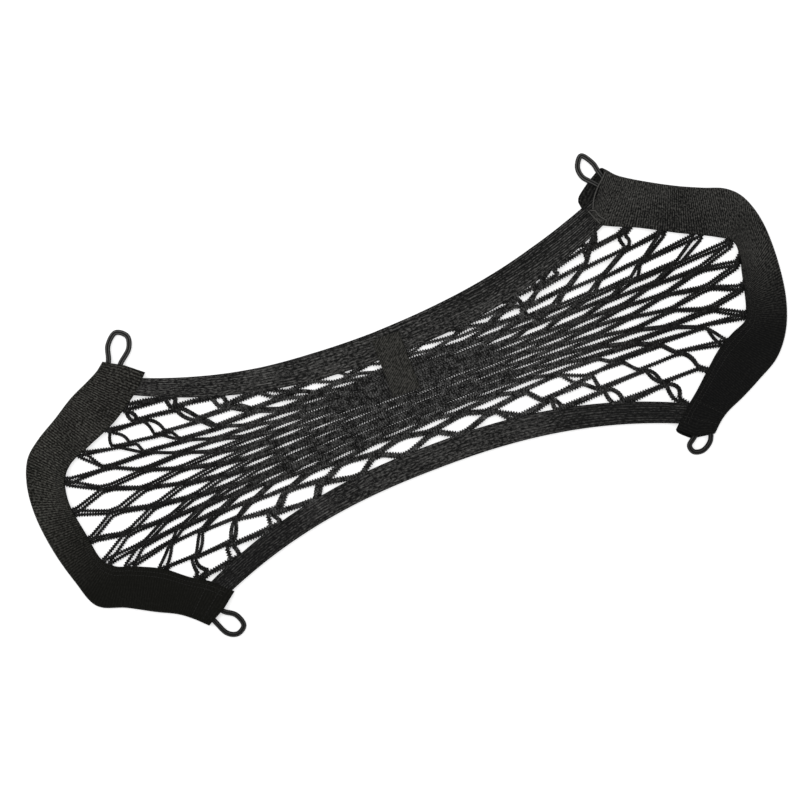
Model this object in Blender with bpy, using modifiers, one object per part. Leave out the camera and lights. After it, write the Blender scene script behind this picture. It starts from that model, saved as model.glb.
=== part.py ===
"""Elastic cargo net, stretched lengthways and laid flat: two string nets between ribbed
elastic bands, bound at both ends with folded webbing, with a cord loop at each corner and a
short webbing tab over the middle of the top band.

Metres, +Z up, +X along the long bands. The origin is the middle of the outline, on the surface.
"""
import math

import bmesh
import bpy
import numpy as np

# ---------------------------------------------------------------- heights of the flat stack
CLEARANCE = 0.0003          # between pieces that touch
WELD = 0.00001              # points nearer than this are one point
WEBBING = 0.0010            # one leaf of the end bindings
LAYER = 0.0015              # a net, and the elastic band in line with it
BACK_Z = WEBBING + CLEARANCE                    # underside of the back net and band
FRONT_Z = BACK_Z + LAYER + CLEARANCE            # underside of the front net and band
TOP_LEAF_Z = FRONT_Z + LAYER + CLEARANCE        # underside of the bindings' upper leaf
STACK = TOP_LEAF_Z + WEBBING                    # the whole thickness

# ---------------------------------------------------------------- long elastic bands
BAND_REACH = 0.200          # where the bands are narrowest
BAND_ENDS = {"top": (-0.2005, 0.1960), "bottom": (-0.1965, 0.1985)}      # sewn in under the bindings
BOW_AT = 0.150              # where a band's bow is measured
BOW_POWER = 2.33            # nearly straight in the middle, turning out to the corners
TOP_MID_Y, TOP_BOW = 0.0430, 0.0205
BOTTOM_MID_Y, BOTTOM_BOW = -0.05125, -0.0208
TOP_HALF_WIDTH, BOTTOM_HALF_WIDTH = 0.0100, 0.0095
TOP_NARROWING, BOTTOM_NARROWING = 0.0034, 0.0016      # half-width lost where a band is pulled out
BAND_STATIONS = 29
RIB_COUNT = 5               # broad ribs woven along a band
RIB_DEPTH = 0.0003
# How far the back band stands above the front one
# BACK_SLIPS: x, slip
BACK_SLIPS = ((-0.130, 0.0), (-0.100, 0.0003), (-0.060, 0.0014), (-0.010, 0.0017), (0.020, 0.0027),
              (0.050, 0.0038), (0.100, 0.0055), (0.130, 0.0066), (0.160, 0.0070))
FOLD_SLOT = CLEARANCE       # between the two leaves of the folded bottom band

# ---------------------------------------------------------------- nets
STRING = 0.0021             # thickness of a string seen face on
LEG_REST = 0.0205           # one side of a mesh before it is stretched
SLACK_PULL = 0.03           # what a slack leg still pulls, against a taut one
EDGE_PULL, EDGE_ROWS = 0.60, 5.0     # the rows near the bands pull less
RELAX_STEPS, RELAX_GAIN, RELAX_GLIDE = 3000, 0.044, 0.97
SELVEDGE = 0.0018           # knitted edge of the net along a band
SMALLEST_GAP = 0.0040
MOST_GAPS = 148             # in one net
SLACK_UNDER = 0.97          # a leg shorter than this share of its rest length hangs in a bow
SAG_SHARE = 0.9
MOST_SAG = 0.0035
HIDDEN_SHARE = 0.55         # the nets reach this far across the bindings
NET_LEFT_X, NET_RIGHT_X = -0.2060, 0.2030     # the nets' corners, in under the bindings
NET_EDGE_POINTS = 25

# Where the knots of the two nets are held. Along a band there is one at each odd column and the last
# is the right-hand corner; at the left binding one at each odd row, and at the right binding one at
# each even row between the corners. Both run from the left or from the bottom up.
# BOTTOM_KNOTS and TOP_KNOTS: front_x, back_x
BOTTOM_KNOTS = ((-0.1780, -0.1700), (-0.1400, -0.1310), (-0.1010, -0.0980), (-0.0600, -0.0590),
                (-0.0170, -0.0190), (0.0270, 0.0290), (0.0700, 0.0780), (0.1050, 0.1120),
                (0.1490, 0.1560), (0.1880, 0.1930))
TOP_KNOTS = ((-0.1800, -0.1730), (-0.1470, -0.1390), (-0.1130, -0.1040), (-0.0700, -0.0510),
             (-0.0250, -0.0080), (0.0180, 0.0350), (0.0610, 0.0800), (0.1030, 0.1200),
             (0.1410, 0.1500), (0.1740, 0.1780))
# LEFT_KNOTS and RIGHT_KNOTS: front_y, back_y
LEFT_KNOTS = ((-0.0720, -0.0740), (-0.0570, -0.0590), (-0.0455, -0.0475), (-0.0355, -0.0395),
              (-0.0160, -0.0190), (0.0085, 0.0050), (0.0325, 0.0290), (0.0480, 0.0460),
              (0.0570, 0.0555), (0.0670, 0.0650))
RIGHT_KNOTS = ((-0.0610, -0.0630), (-0.0465, -0.0490), (-0.0330, -0.0360), (-0.0130, -0.0160),
               (0.0060, 0.0030), (0.0230, 0.0200), (0.0370, 0.0340), (0.0490, 0.0470),
               (0.0590, 0.0575))
COLUMNS, ROWS = 2 * len(BOTTOM_KNOTS) - 1, 2 * len(LEFT_KNOTS)      # numbers of the last ones

# ---------------------------------------------------------------- end bindings
# A row for each station from the top end to the bottom one: the folded edge, then the open edge
# LEFT_BINDING and RIGHT_BINDING: outer_x, outer_y, inner_x, inner_y
LEFT_BINDING = (
    (-0.2120, 0.1077, -0.1865, 0.0865),
    (-0.2190, 0.1023, -0.1940, 0.0790),
    (-0.2290, 0.0973, -0.2035, 0.0718),
    (-0.2450, 0.0900, -0.2220, 0.0602),
    (-0.2620, 0.0795, -0.2450, 0.0507),
    (-0.2800, 0.0690, -0.2620, 0.0435),
    (-0.2930, 0.0575, -0.2710, 0.0340),
    (-0.3005, 0.0380, -0.2745, 0.0210),
    (-0.3025, 0.0130, -0.2745, 0.0080),
    (-0.2990, -0.0160, -0.2710, -0.0130),
    (-0.2920, -0.0430, -0.2675, -0.0330),
    (-0.2830, -0.0663, -0.2590, -0.0430),
    (-0.2620, -0.0760, -0.2460, -0.0480),
    (-0.2420, -0.0870, -0.2250, -0.0580),
    (-0.2270, -0.0945, -0.2085, -0.0710),
    (-0.2170, -0.1020, -0.1935, -0.0805),
    (-0.2080, -0.1107, -0.1820, -0.0917),
)
RIGHT_BINDING = (
    (0.2020, 0.1090, 0.1760, 0.0860),
    (0.2110, 0.1000, 0.1830, 0.0710),
    (0.2295, 0.0883, 0.2115, 0.0573),
    (0.2495, 0.0773, 0.2375, 0.0433),
    (0.2675, 0.0690, 0.2615, 0.0313),
    (0.2840, 0.0620, 0.2750, 0.0220),
    (0.2950, 0.0500, 0.2760, 0.0100),
    (0.3015, 0.0280, 0.2730, -0.0030),
    (0.3020, -0.0020, 0.2700, -0.0160),
    (0.2980, -0.0320, 0.2665, -0.0290),
    (0.2890, -0.0560, 0.2620, -0.0385),
    (0.2750, -0.0737, 0.2495, -0.0440),
    (0.2560, -0.0847, 0.2355, -0.0520),
    (0.2400, -0.0927, 0.2235, -0.0620),
    (0.2260, -0.0987, 0.2085, -0.0755),
    (0.2180, -0.1037, 0.1955, -0.0860),
    (0.2110, -0.1100, 0.1840, -0.0967),
)
# How far the lower leaf stands out past the upper one at the top end and at the bottom end
LEAF_SLIPS = {"left": (0.0, 0.0), "right": (0.0080, 0.0025)}
BINDING_STATIONS = 31
LEAF_POINTS, FOLD_POINTS = 3, 5

# ---------------------------------------------------------------- corner loops
LOOP_CORD = 0.0033
LOOP_SIDES = 2              # bevel resolution, for a cord of 8 sides
LOOP_STATIONS = 25
DROP_FROM, DROP_TO = 0.26, 0.42      # shares of a loop's length over which it comes down to the surface
# A row for each loop: the middle of the cord from one foot to the other, as x, y pairs
LOOPS = {
    "corner_loop_top_left": ((-0.2120, 0.0985), (-0.2070, 0.1075), (-0.2035, 0.1180), (-0.1950, 0.1251),
                             (-0.1873, 0.1195), (-0.1895, 0.1100), (-0.1985, 0.1022), (-0.2045, 0.0960)),
    "corner_loop_top_right": ((0.2000, 0.0985), (0.1970, 0.1090), (0.1950, 0.1170), (0.1890, 0.1251),
                              (0.1833, 0.1180), (0.1840, 0.1095), (0.1900, 0.1025), (0.1960, 0.0955)),
    "corner_loop_bottom_left": ((-0.2060, -0.0990), (-0.2015, -0.1110), (-0.1965, -0.1215), (-0.1890, -0.1251),
                                (-0.1822, -0.1205), (-0.1850, -0.1110), (-0.1930, -0.1050), (-0.1990, -0.0965)),
    "corner_loop_bottom_right": ((0.1988, -0.1010), (0.1940, -0.1078), (0.1878, -0.1130), (0.1895, -0.1190),
                                 (0.1965, -0.1203), (0.2035, -0.1160), (0.2068, -0.1090), (0.2088, -0.0995)),
}

# ---------------------------------------------------------------- centre tab
TAB_LEFT, TAB_RIGHT = -0.0125, 0.0098
TAB_TOP, TAB_BOTTOM = 0.0490, 0.0020
TAB_THICKNESS = 0.0012
TAB_CORNER = 0.0010

MATERIALS = {               # name: colour, roughness, metallic
    "elastic_string": ((0.012, 0.012, 0.012), 0.80, 0.0),
    "ribbed_elastic": ((0.018, 0.017, 0.016), 0.78, 0.0),
    "end_webbing": ((0.012, 0.011, 0.010), 0.85, 0.0),
    "loop_cord": ((0.015, 0.015, 0.015), 0.55, 0.0),
    "tab_webbing": ((0.028, 0.027, 0.025), 0.85, 0.0),
}


# ================================================================ scene
def clear_scene():
    for thing in list(bpy.data.objects):
        bpy.data.objects.remove(thing, do_unlink=True)


def make_collection(name):
    collection = bpy.data.collections.new(name)
    bpy.context.scene.collection.children.link(collection)
    return collection


def make_material(name):
    colour, roughness, metallic = MATERIALS[name]
    material = bpy.data.materials.new(name)
    material.use_nodes = True
    shader = material.node_tree.nodes["Principled BSDF"]
    shader.inputs["Base Color"].default_value = (*colour, 1.0)
    shader.inputs["Roughness"].default_value = roughness
    shader.inputs["Metallic"].default_value = metallic
    return material


def add_object(collection, name, data, material):
    data.materials.append(material)
    thing = bpy.data.objects.new(name, data)
    collection.objects.link(thing)
    return thing


def poly_spline(curve, points, closed):
    spline = curve.splines.new("POLY")
    spline.points.add(len(points) - 1)
    for spline_point, point in zip(spline.points, points):
        spline_point.co = (*point, 1.0) if len(point) == 3 else (*point, 0.0, 1.0)
    spline.use_cyclic_u = closed
    return spline


def closed_mesh(sweep, name):
    """The mesh of a swept curve with its end caps welded on; the curve itself is removed."""
    mesh = bpy.data.meshes.new_from_object(sweep.evaluated_get(bpy.context.evaluated_depsgraph_get()))
    mesh.name = name
    welded = bmesh.new()
    welded.from_mesh(mesh)
    bmesh.ops.remove_doubles(welded, verts=welded.verts, dist=WELD)
    bmesh.ops.recalc_face_normals(welded, faces=welded.faces)
    welded.to_mesh(mesh)
    welded.free()
    bpy.data.objects.remove(sweep, do_unlink=True)
    return mesh


# ================================================================ curves in the plane
def smooth_through(points, stations):
    """Catmull-Rom through the points, at evenly spaced stations along the length."""
    knots = np.array(points, float)
    knots = np.vstack([2 * knots[0] - knots[1], knots, 2 * knots[-1] - knots[-2]])
    steps = np.linspace(0.0, 1.0, 12, endpoint=False)[:, None]
    parts = []
    for a, b, c, d in zip(knots[:-3], knots[1:-2], knots[2:-1], knots[3:]):
        parts.append(0.5 * (2 * b + (c - a) * steps + (2 * a - 5 * b + 4 * c - d) * steps ** 2
                            + (3 * b - a - 3 * c + d) * steps ** 3))
    dense = np.vstack(parts + [knots[-2:-1]])
    length = np.r_[0.0, np.cumsum(np.linalg.norm(np.diff(dense[:, :2], axis=0), axis=1))]
    wanted = np.asarray(stations) * length[-1]
    return np.column_stack([np.interp(wanted, length, column) for column in dense.T])


def band_centre(edge, net, x):
    """Height of a band's middle line at x."""
    middle, bow = (TOP_MID_Y, TOP_BOW) if edge == "top" else (BOTTOM_MID_Y, BOTTOM_BOW)
    slip = np.interp(x, *np.transpose(BACK_SLIPS)) if (edge, net) == ("top", "back") else 0.0
    return middle + bow * (np.abs(x) / BOW_AT) ** BOW_POWER + slip


def band_half_width(edge, x):
    widest, lost = ((TOP_HALF_WIDTH, TOP_NARROWING) if edge == "top"
                    else (BOTTOM_HALF_WIDTH, BOTTOM_NARROWING))
    return widest - lost * (x / BAND_REACH) ** 2


def band_inner_edge(edge, net, x, beyond=0.0):
    """Points on a band's edge towards the net, at the band's own x, moved out by beyond."""
    nudge = 1e-5
    slope = (band_centre(edge, net, x + nudge) - band_centre(edge, net, x - nudge)) / (2 * nudge)
    scale = np.sqrt(1 + slope ** 2)
    side = -1.0 if edge == "top" else 1.0
    reach = side * (band_half_width(edge, x) + beyond)
    return np.column_stack([x - slope / scale * reach, band_centre(edge, net, x) + reach / scale])


def binding_edges(side, stations):
    """Outer and inner edge points of an end binding, from its top end to its bottom one."""
    rows = smooth_through(LEFT_BINDING if side == "left" else RIGHT_BINDING, stations)
    return rows[:, :2], rows[:, 2:]


# ================================================================ the string nets
def corner_station(side, edge, net):
    """Where a band's inner edge meets a binding's inner edge, as a share along the binding."""
    stations = np.linspace(0.0, 1.0, 801)
    inner = binding_edges(side, stations)[1]
    half = stations < 0.5 if edge == "top" else stations > 0.5
    band = band_inner_edge(edge, net, np.linspace(-0.215, 0.215, 431))
    miss = np.abs(inner[:, 1] - np.interp(inner[:, 0], band[:, 0], band[:, 1]))
    return stations[half][np.argmin(miss[half])]


def net_corner(side, edge, net):
    """The point where a band's inner edge meets a binding's inner edge."""
    return binding_edges(side, np.linspace(0.0, 1.0, 801))[1][
        round(800 * corner_station(side, edge, net))]


def edge_knots(net):
    """Places along the four edges of a net, one for each of its columns or rows."""
    which = 0 if net == "front" else 1
    columns, rows = np.arange(COLUMNS + 1), np.arange(ROWS + 1)
    places = {}
    for edge, table in (("bottom", BOTTOM_KNOTS), ("top", TOP_KNOTS)):
        band = band_inner_edge(edge, net, np.linspace(-0.215, 0.215, 431))
        held = np.r_[net_corner("left", edge, net)[0], np.array(table)[:, which]]
        x = np.interp(columns, np.r_[0, columns[1::2]], held)
        places[edge] = np.column_stack([x, np.interp(x, *band.T)])
    for side, table, known in (("left", LEFT_KNOTS, rows[1::2]), ("right", RIGHT_KNOTS, rows[2:-1:2])):
        inner = binding_edges(side, np.linspace(1.0, 0.0, 801))[1]
        ends = [net_corner(side, edge, net)[1] for edge in ("bottom", "top")]
        held = np.r_[ends[0], np.array(table)[:, which], ends[1]]
        y = np.interp(rows, np.r_[0, known, ROWS], held)
        places[side] = np.column_stack([np.interp(y, inner[:, 1], inner[:, 0]), y])
    for edge, row in (("bottom", 0), ("top", -1)):
        places["right"][row] = places[edge][-1]
        places["left"][row] = places[edge][0]
    return places


def relaxed_net(net):
    """Knots of a diamond net held at its edges, settled as slack or stretched elastic."""
    edges = edge_knots(net)
    u = np.linspace(0.0, 1.0, COLUMNS + 1)[:, None, None]
    v = np.linspace(0.0, 1.0, ROWS + 1)[None, :, None]
    bottom, top = edges["bottom"][:, None], edges["top"][:, None]
    left, right = edges["left"][None], edges["right"][None]
    place = ((1 - v) * bottom + v * top + (1 - u) * left + u * right
             - (1 - u) * (1 - v) * bottom[:1] - u * (1 - v) * bottom[-1:]
             - (1 - u) * v * top[:1] - u * v * top[-1:])
    knots = [(c, r) for c in range(COLUMNS + 1) for r in range(ROWS + 1) if (c + r) % 2]
    number = {knot: index for index, knot in enumerate(knots)}
    held = np.array([c in (0, COLUMNS) or r in (0, ROWS) for c, r in knots])[:, None]
    legs, pulls = [], []
    for c, r in knots:
        for step in (-1, 1):
            if (c + 1, r + step) in number:
                legs.append((number[c, r], number[c + 1, r + step]))
                row = min(r, r + step) + 0.5
                depth = min(row, ROWS - row, EDGE_ROWS) / EDGE_ROWS
                pulls.append(EDGE_PULL + (1 - EDGE_PULL) * depth)
    start, end = np.array(legs).T
    pulls = np.array(pulls)
    spots = np.array([place[knot] for knot in knots])
    drift = np.zeros_like(spots)
    for _ in range(RELAX_STEPS):
        along = spots[end] - spots[start]
        length = np.linalg.norm(along, axis=1)
        tension = np.maximum(length - LEG_REST, SLACK_PULL * length) * pulls / length
        force = np.zeros_like(spots)
        np.add.at(force, start, along * tension[:, None])
        np.add.at(force, end, -along * tension[:, None])
        drift = RELAX_GLIDE * drift + RELAX_GAIN * force
        spots = np.where(held, spots, spots + drift)
    return {knot: spots[index] for knot, index in number.items()}


def leg_sag(knots, a, b):
    """Middle of a slack leg, bowed to one side by its spare length, or None on a taut leg."""
    first, last = min(a, b), max(a, b)
    chord = knots[last] - knots[first]
    length = np.linalg.norm(chord)
    if length > SLACK_UNDER * LEG_REST:
        return None
    sag = min(SAG_SHARE * math.sqrt(0.375 * (LEG_REST - length) * length), MOST_SAG)
    side = 1.0 if first[0] % 2 else -1.0
    return knots[first] + chord / 2 + side * sag * np.array([-chord[1], chord[0]]) / length


def shrunk(points, margins):
    """A polygon with each of its edges moved inwards by that edge's own margin."""
    points, margins = np.array(points), np.array(margins)
    along = np.roll(points, -1, axis=0) - points
    inward = np.column_stack([-along[:, 1], along[:, 0]])
    inward /= np.linalg.norm(inward, axis=1)[:, None]
    levels = np.einsum("ij,ij->i", inward, points) + margins
    return np.array([np.linalg.solve(inward[[i - 1, i]], levels[[i - 1, i]]) for i in range(len(points))])


def polygon_area(points):
    x, y = np.asarray(points).T
    return 0.5 * float(np.sum(x * np.roll(y, -1) - y * np.roll(x, -1)))


def clear_width(points):
    """Width of the widest circle that fits about the middle of a polygon."""
    middle = points.mean(axis=0)
    along = np.roll(points, -1, axis=0) - points
    widths = []
    for centre in np.vstack([middle, middle + 0.3 * (points - middle)]):
        share = np.clip(np.sum((centre - points) * along, axis=1) / np.sum(along ** 2, axis=1), 0.0, 1.0)
        nearest = points + share[:, None] * along
        widths.append(2 * np.min(np.linalg.norm(nearest - centre, axis=1)))
    return max(widths)


def net_gaps(knots, net):
    """Outlines of the gaps that are wide enough to cut, largest first."""
    spots = {(0, 0): net_corner("left", "bottom", net), (0, ROWS): net_corner("left", "top", net), **knots}
    gaps = []
    for c in range(COLUMNS + 1):
        for r in range(c % 2, ROWS + 1, 2):
            ring = [knot for knot in ((c - 1, r), (c, r - 1), (c + 1, r), (c, r + 1)) if knot in knots]
            if len(ring) == 2:
                ring.append((c, r))
            points, margins = [], []
            for a, b in zip(ring, ring[1:] + ring[:1]):
                points.append(spots[a])
                if a[0] == b[0]:
                    margins.append(0.0)
                elif a[1] == b[1]:
                    margins.append(SELVEDGE)
                else:
                    margins.append(STRING / 2)
                    sag = leg_sag(knots, a, b)
                    if sag is not None:
                        points.append(sag)
                        margins.append(STRING / 2)
            outline = shrunk(points, margins)
            if polygon_area(outline) > 0 and clear_width(outline) > SMALLEST_GAP:
                gaps.append(outline)
    gaps.sort(key=polygon_area, reverse=True)
    return gaps[:MOST_GAPS]


def net_outline(net):
    """Edge of a net's sheet: along both bands, and in between the leaves of the bindings."""
    x = np.linspace(NET_LEFT_X, NET_RIGHT_X, NET_EDGE_POINTS)
    bottom = band_inner_edge("bottom", net, x, CLEARANCE)
    top = band_inner_edge("top", net, x, CLEARANCE)
    hidden = {}
    for side in ("left", "right"):
        stations = np.linspace(corner_station(side, "top", net) + 0.05,
                               corner_station(side, "bottom", net) - 0.05, 11)
        outer, inner = binding_edges(side, stations)
        hidden[side] = inner + (outer - inner) * HIDDEN_SHARE
    return np.vstack([bottom, hidden["right"][::-1], top[::-1], hidden["left"]])


def build_net(collection, net, underside, material):
    knots = relaxed_net(net)
    curve = bpy.data.curves.new("net_" + net, "CURVE")
    curve.dimensions = "2D"
    curve.fill_mode = "BOTH"
    curve.extrude = LAYER / 2
    poly_spline(curve, net_outline(net), closed=True)
    for gap in net_gaps(knots, net):
        poly_spline(curve, gap, closed=True)
    sheet = add_object(collection, "net_" + net, curve, material)
    sheet.location.z = underside + LAYER / 2
    return sheet


# ================================================================ bands, bindings, loops, tab
def ribbed_section(width_half, thickness):
    """Closed outline of a band's section: flat below, broad ribs above."""
    ribs = [(-width_half + 2 * width_half * step / (2 * RIB_COUNT),
             thickness / 2 - (RIB_DEPTH if step % 2 == 0 else 0.0)) for step in range(2 * RIB_COUNT + 1)]
    return [(-width_half, -thickness / 2), (width_half, -thickness / 2)] + ribs[::-1]


def folded_section(width_half, thickness):
    """Section of the bottom band: two leaves joined at the fold, with a slot between them."""
    leaf = (thickness - FOLD_SLOT) / 2
    upper = ribbed_section(width_half, thickness)[2:]
    return [(-width_half, -thickness / 2), (width_half, -thickness / 2),
            (width_half, -thickness / 2 + leaf), (-width_half + leaf, -thickness / 2 + leaf),
            (-width_half + leaf, thickness / 2 - leaf), (width_half, thickness / 2 - leaf)] + upper


def build_band(collection, name, edge, net, section, middle_z, material):
    """A band swept along its bowed middle line; the section narrows towards the ends."""
    profile = bpy.data.curves.new(name + "_section", "CURVE")
    profile.dimensions = "2D"
    poly_spline(profile, section, closed=True)
    guide = bpy.data.objects.new(name + "_section", profile)
    guide.hide_render = True
    guide.display_type = "WIRE"
    bpy.data.collections["cutters"].objects.link(guide)
    path = bpy.data.curves.new(name, "CURVE")
    path.dimensions = "3D"
    path.twist_mode = "Z_UP"
    path.bevel_mode = "OBJECT"
    path.bevel_object = guide
    path.use_fill_caps = True
    x = np.linspace(*BAND_ENDS[edge], BAND_STATIONS)
    spline = poly_spline(path, np.column_stack([x, band_centre(edge, net, x)]), closed=False)
    widest = band_half_width(edge, 0.0)
    for point, at in zip(spline.points, x):
        point.radius = band_half_width(edge, at) / widest
    sweep = bpy.data.objects.new(name + "_sweep", path)
    bpy.context.scene.collection.objects.link(sweep)
    mesh = closed_mesh(sweep, name)
    band = add_object(collection, name, mesh, material)
    band.location.z = middle_z
    return band


def folded_leaf_rows(side):
    """Points of a binding's middle surface: upper leaf, fold, lower leaf, station by station."""
    outer, inner = binding_edges(side, np.linspace(0.0, 1.0, BINDING_STATIONS))
    low_z, high_z = WEBBING / 2, STACK - WEBBING / 2
    bend = (high_z - low_z) / 2
    along = np.gradient((outer + inner) / 2, axis=0)
    along /= np.linalg.norm(along, axis=1)[:, None]
    rows = []
    for index, (out, into) in enumerate(zip(outer, inner)):
        across = out - into
        width = np.linalg.norm(across)
        across /= width
        flat = width - bend - WEBBING / 2
        leaf = np.linspace(0.0, flat, LEAF_POINTS)
        angles = np.linspace(math.pi / 2, -math.pi / 2, FOLD_POINTS + 2)[1:-1]
        section = ([(reach, high_z) for reach in leaf]
                   + [(flat + bend * math.cos(a), low_z + bend + bend * math.sin(a)) for a in angles]
                   + [(reach, low_z) for reach in leaf[::-1]])
        slip = np.zeros(2)
        if index == 0:
            slip = -along[index] * LEAF_SLIPS[side][0]
        elif index == BINDING_STATIONS - 1:
            slip = along[index] * LEAF_SLIPS[side][1]
        rows.append([(*(into + across * reach + slip * (high_z - z) / (high_z - low_z)), z)
                     for reach, z in section])
    return rows


def build_binding(collection, side, material):
    name = "end_binding_" + side
    rows = folded_leaf_rows(side)
    cage = bmesh.new()
    grid = [[cage.verts.new(point) for point in row] for row in rows]
    for low, high in zip(grid[:-1], grid[1:]):
        for a, b, c, d in zip(low[:-1], low[1:], high[1:], high[:-1]):
            cage.faces.new((a, b, c, d))
    bmesh.ops.recalc_face_normals(cage, faces=cage.faces)
    mesh = bpy.data.meshes.new(name)
    cage.to_mesh(mesh)
    cage.free()
    mesh.shade_smooth()
    mesh.set_sharp_from_angle(angle=math.radians(40))
    binding = add_object(collection, name, mesh, material)
    wall = binding.modifiers.new("webbing", "SOLIDIFY")
    wall.thickness = WEBBING
    wall.offset = 0.0
    wall.use_even_offset = True
    return binding


def build_loop(collection, name, material):
    curve = bpy.data.curves.new(name, "CURVE")
    curve.dimensions = "3D"
    curve.bevel_depth = LOOP_CORD / 2
    curve.bevel_resolution = LOOP_SIDES
    curve.use_fill_caps = True
    stations = np.linspace(0.0, 1.0, LOOP_STATIONS)
    share = np.clip((np.minimum(stations, 1 - stations) - DROP_FROM) / (DROP_TO - DROP_FROM), 0.0, 1.0)
    height = STACK / 2 - (STACK - LOOP_CORD) / 2 * share * share * (3 - 2 * share)
    poly_spline(curve, np.column_stack([smooth_through(LOOPS[name], stations), height]), closed=False)
    return add_object(collection, name, curve, material)


def build_tab(collection, material):
    curve = bpy.data.curves.new("centre_tab", "CURVE")
    curve.dimensions = "2D"
    curve.fill_mode = "BOTH"
    curve.extrude = TAB_THICKNESS / 2
    cut = TAB_CORNER
    poly_spline(curve, [(TAB_LEFT + cut, TAB_BOTTOM), (TAB_RIGHT - cut, TAB_BOTTOM),
                        (TAB_RIGHT, TAB_BOTTOM + cut), (TAB_RIGHT, TAB_TOP - cut),
                        (TAB_RIGHT - cut, TAB_TOP), (TAB_LEFT + cut, TAB_TOP),
                        (TAB_LEFT, TAB_TOP - cut), (TAB_LEFT, TAB_BOTTOM + cut)], closed=True)
    tab = add_object(collection, "centre_tab", curve, material)
    tab.location.z = TOP_LEAF_Z + TAB_THICKNESS / 2
    return tab


def main():
    clear_scene()
    collection = make_collection("cargo_net")
    make_collection("cutters")
    materials = {name: make_material(name) for name in MATERIALS}
    build_net(collection, "back", BACK_Z, materials["elastic_string"])
    build_net(collection, "front", FRONT_Z, materials["elastic_string"])
    plain = ribbed_section(TOP_HALF_WIDTH, LAYER)
    build_band(collection, "top_band_back", "top", "back", plain, BACK_Z + LAYER / 2,
               materials["ribbed_elastic"])
    build_band(collection, "top_band_front", "top", "front", plain, FRONT_Z + LAYER / 2,
               materials["ribbed_elastic"])
    both_layers = 2 * LAYER + CLEARANCE
    build_band(collection, "bottom_band", "bottom", "front", folded_section(BOTTOM_HALF_WIDTH, both_layers),
               BACK_Z + both_layers / 2, materials["ribbed_elastic"])
    for side in ("left", "right"):
        build_binding(collection, side, materials["end_webbing"])
    for name in LOOPS:
        build_loop(collection, name, materials["loop_cord"])
    build_tab(collection, materials["tab_webbing"])


main()
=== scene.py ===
"""Looks of the elastic cargo net: knitted string nets, ribbed elastic bands, folded end bindings,
braided corner loops, the tab and the sewing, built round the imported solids. Metres, +Z up."""
import math

import bpy
import numpy as np
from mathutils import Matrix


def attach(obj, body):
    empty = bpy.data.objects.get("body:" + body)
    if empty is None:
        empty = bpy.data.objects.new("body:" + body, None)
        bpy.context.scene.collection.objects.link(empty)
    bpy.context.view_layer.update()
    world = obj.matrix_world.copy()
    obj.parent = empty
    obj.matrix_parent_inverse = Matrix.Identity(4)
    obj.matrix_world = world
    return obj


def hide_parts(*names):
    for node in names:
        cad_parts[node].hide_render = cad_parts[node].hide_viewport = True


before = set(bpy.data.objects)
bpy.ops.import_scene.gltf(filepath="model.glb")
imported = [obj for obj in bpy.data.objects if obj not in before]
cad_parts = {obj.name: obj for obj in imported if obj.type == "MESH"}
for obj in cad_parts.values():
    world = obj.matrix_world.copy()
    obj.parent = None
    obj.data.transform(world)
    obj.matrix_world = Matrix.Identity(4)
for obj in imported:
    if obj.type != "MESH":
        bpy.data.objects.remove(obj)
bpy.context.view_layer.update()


def tenths(*rows):
    """A table written in tenths of a millimetre, as metres."""
    return np.array(rows) / 10000.0


# ---- sizes, as in the part's source
CLEARANCE, WEBBING, LAYER = 0.0003, 0.0010, 0.0015
BACK_Z = WEBBING + CLEARANCE
FRONT_Z = BACK_Z + LAYER + CLEARANCE
TOP_LEAF_Z = FRONT_Z + LAYER + CLEARANCE
STACK = TOP_LEAF_Z + WEBBING
NET_Z = {"front": FRONT_Z + LAYER / 2, "back": BACK_Z + LAYER / 2}

BAND_REACH = 0.200
BAND_ENDS = {"top": (-0.2005, 0.1960), "bottom": (-0.1965, 0.1985)}
BOW_AT, BOW_POWER = 0.150, 2.33
# BAND_BOW: y in the middle, rise at BOW_AT; BAND_WIDTH: half-width in the middle, its loss at BAND_REACH
BAND_BOW = {"top": (0.0430, 0.0205), "bottom": (-0.05125, -0.0208)}
BAND_WIDTH = {"top": (0.0100, 0.0034), "bottom": (0.0095, 0.0016)}
# BACK_SLIPS: x, how far the back net's top band has slipped up
BACK_SLIPS = tenths(
    (-1300, 0), (-1000, 3), (-600, 14), (-100, 17), (200, 27), (500, 38), (1000, 55), (1300, 66),
    (1600, 70))

LEG_REST = 0.0205  # one side of a mesh before stretching
SLACK_PULL = 0.03  # a string always pulls by at least this share of its length
EDGE_PULL, EDGE_ROWS = 0.60, 5.0  # it pulls less by the bands: this share there, all of it so many rows in
RELAX_STEPS, RELAX_GAIN, RELAX_GLIDE = 3000, 0.044, 0.97
SLACK_UNDER, SAG_SHARE, MOST_SAG = 0.62, 0.010, 0.0007  # a leg shorter than that share of its rest sags
# places of the knots along the bands (x) and the bindings (y): front net, back net
BOTTOM_KNOTS = tenths(
    (-1780, -1700), (-1400, -1310), (-1010, -980), (-600, -590), (-170, -190), (270, 290), (700, 780),
    (1050, 1120), (1490, 1560), (1880, 1930))
TOP_KNOTS = tenths(
    (-1800, -1730), (-1470, -1390), (-1130, -1040), (-700, -510), (-250, -80), (180, 350), (610, 800),
    (1030, 1200), (1410, 1500), (1740, 1780))
LEFT_KNOTS = tenths(
    (-720, -740), (-570, -590), (-455, -475), (-355, -395), (-160, -190), (85, 50), (325, 290), (480, 460),
    (570, 555), (670, 650))
RIGHT_KNOTS = tenths(
    (-610, -630), (-465, -490), (-330, -360), (-130, -160), (60, 30), (230, 200), (370, 340), (490, 470),
    (590, 575))
COLUMNS, ROWS = 2 * len(BOTTOM_KNOTS) - 1, 2 * len(LEFT_KNOTS)
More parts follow.
